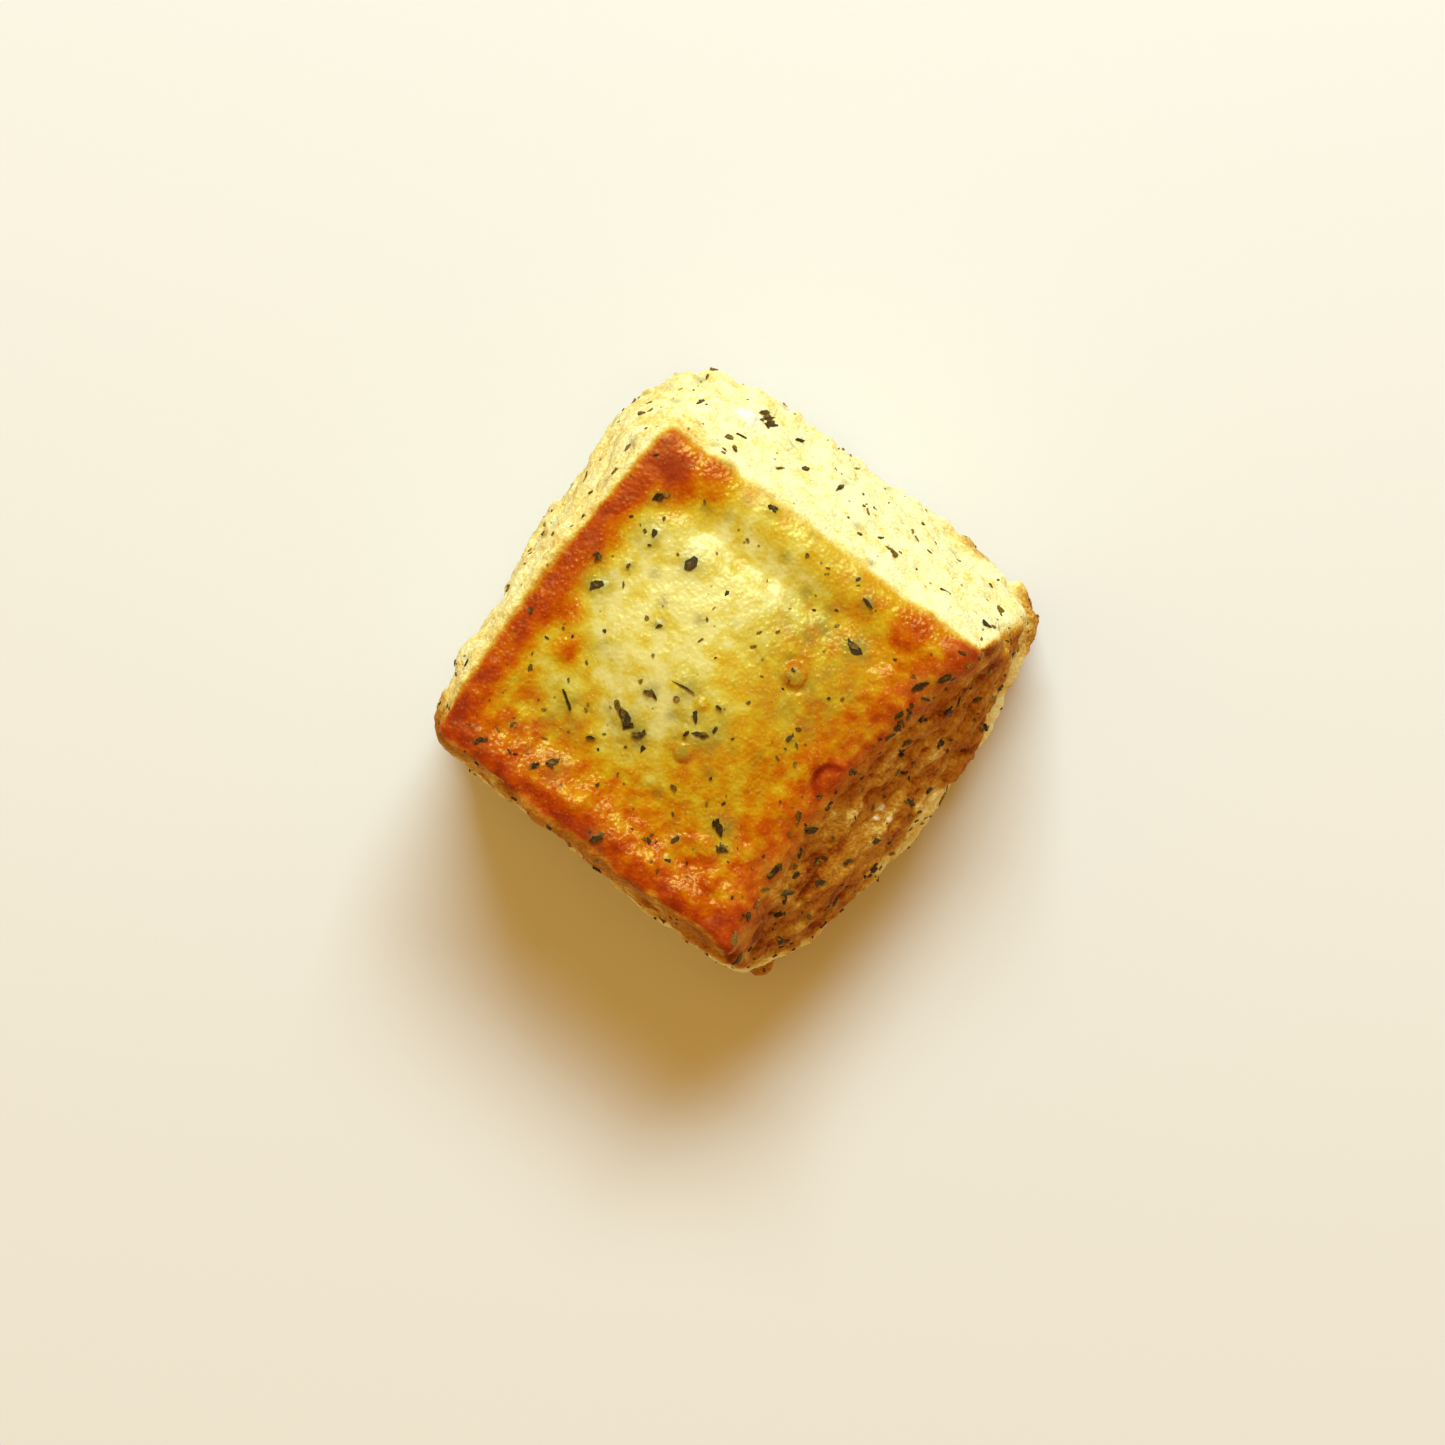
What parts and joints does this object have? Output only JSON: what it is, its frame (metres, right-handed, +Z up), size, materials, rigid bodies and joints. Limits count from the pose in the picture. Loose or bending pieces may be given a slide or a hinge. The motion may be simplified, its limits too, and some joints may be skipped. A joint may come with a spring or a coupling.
{
  "type": "square herb scone",
  "caption": "Square cut herb scone with layered sides, an opened layer and a glazed brown top crust.",
  "frame": {"origin": "on the plane the flat base rests on, under the middle of the bounding box", "axes": "+Z up, out of the glazed top; X and Y square to the four cut sides, with the top leaning towards -Y and its low, rounded edge on +X"},
  "size_m": [0.072, 0.0716, 0.0428],
  "materials": {
    "baked_dough": "satin",
    "herb_flakes": "matte"
  },
  "bodies": {
    "root": {"scone": "baked_dough"}
  },
  "joints": []
}
